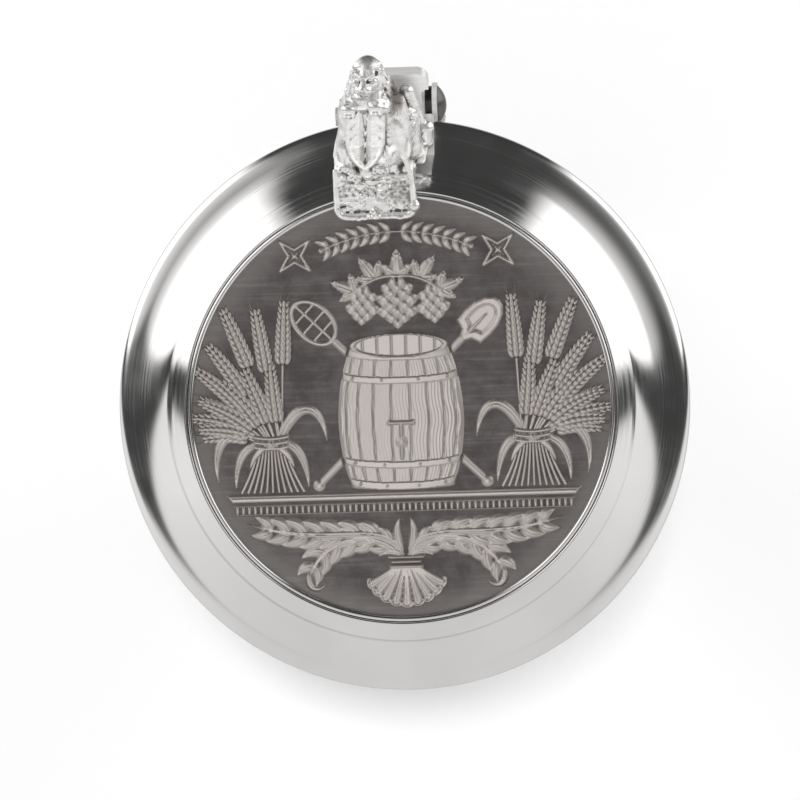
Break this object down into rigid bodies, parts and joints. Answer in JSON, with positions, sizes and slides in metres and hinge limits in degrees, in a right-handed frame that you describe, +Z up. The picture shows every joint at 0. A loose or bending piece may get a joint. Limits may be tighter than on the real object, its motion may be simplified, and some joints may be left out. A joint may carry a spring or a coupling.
{
  "type": "lidded beer glass",
  "caption": "Tall waisted beer glass with a strap-clamped hinge, a domed pewter lid with a cast relief disc, and a figural thumb lift that swings the lid open.",
  "frame": {"origin": "middle of the glass's foot, on the plane that it stands on", "axes": "+Z up along the glass, +Y towards the hinge and the thumb lift, +X along the hinge pin"},
  "size_m": [0.09, 0.0994, 0.2635],
  "materials": {
    "clear_glass": "clear, smooth",
    "strap_metal": "brushed sheet",
    "liner_rubber": "matte, soft",
    "fastener_steel": "bright turned",
    "dark_rivet": "darkened",
    "polished_pewter": "polished, with fine turning lines",
    "antique_pewter": "antiqued, raised parts rubbed bright",
    "lever_pewter": "satin",
    "plated_casting": "bright plated casting"
  },
  "bodies": {
    "glass": {"beer_glass": "clear_glass", "collar_strap": "strap_metal", "collar_liner": "liner_rubber", "clamp_screw": "fastener_steel", "clamp_nut": "fastener_steel", "clamp_sleeve": "fastener_steel", "hinge_pin": "dark_rivet", "pin_washers": "dark_rivet"},
    "lid": {"lid_brim": "polished_pewter", "relief_medallion": "antique_pewter", "bezel_ring": "polished_pewter", "lid_lever": "lever_pewter", "lever_screws": "fastener_steel", "thumb_lift": "plated_casting", "lift_screw": "fastener_steel"}
  },
  "joints": [
    {"name": "lid_hinge", "type": "hinge", "parent": "glass", "child": "lid", "pos_m": [0, 0.0472, 0.2374], "axis": [-1, 0, 0], "range_deg": [0, 105]}
  ]
}
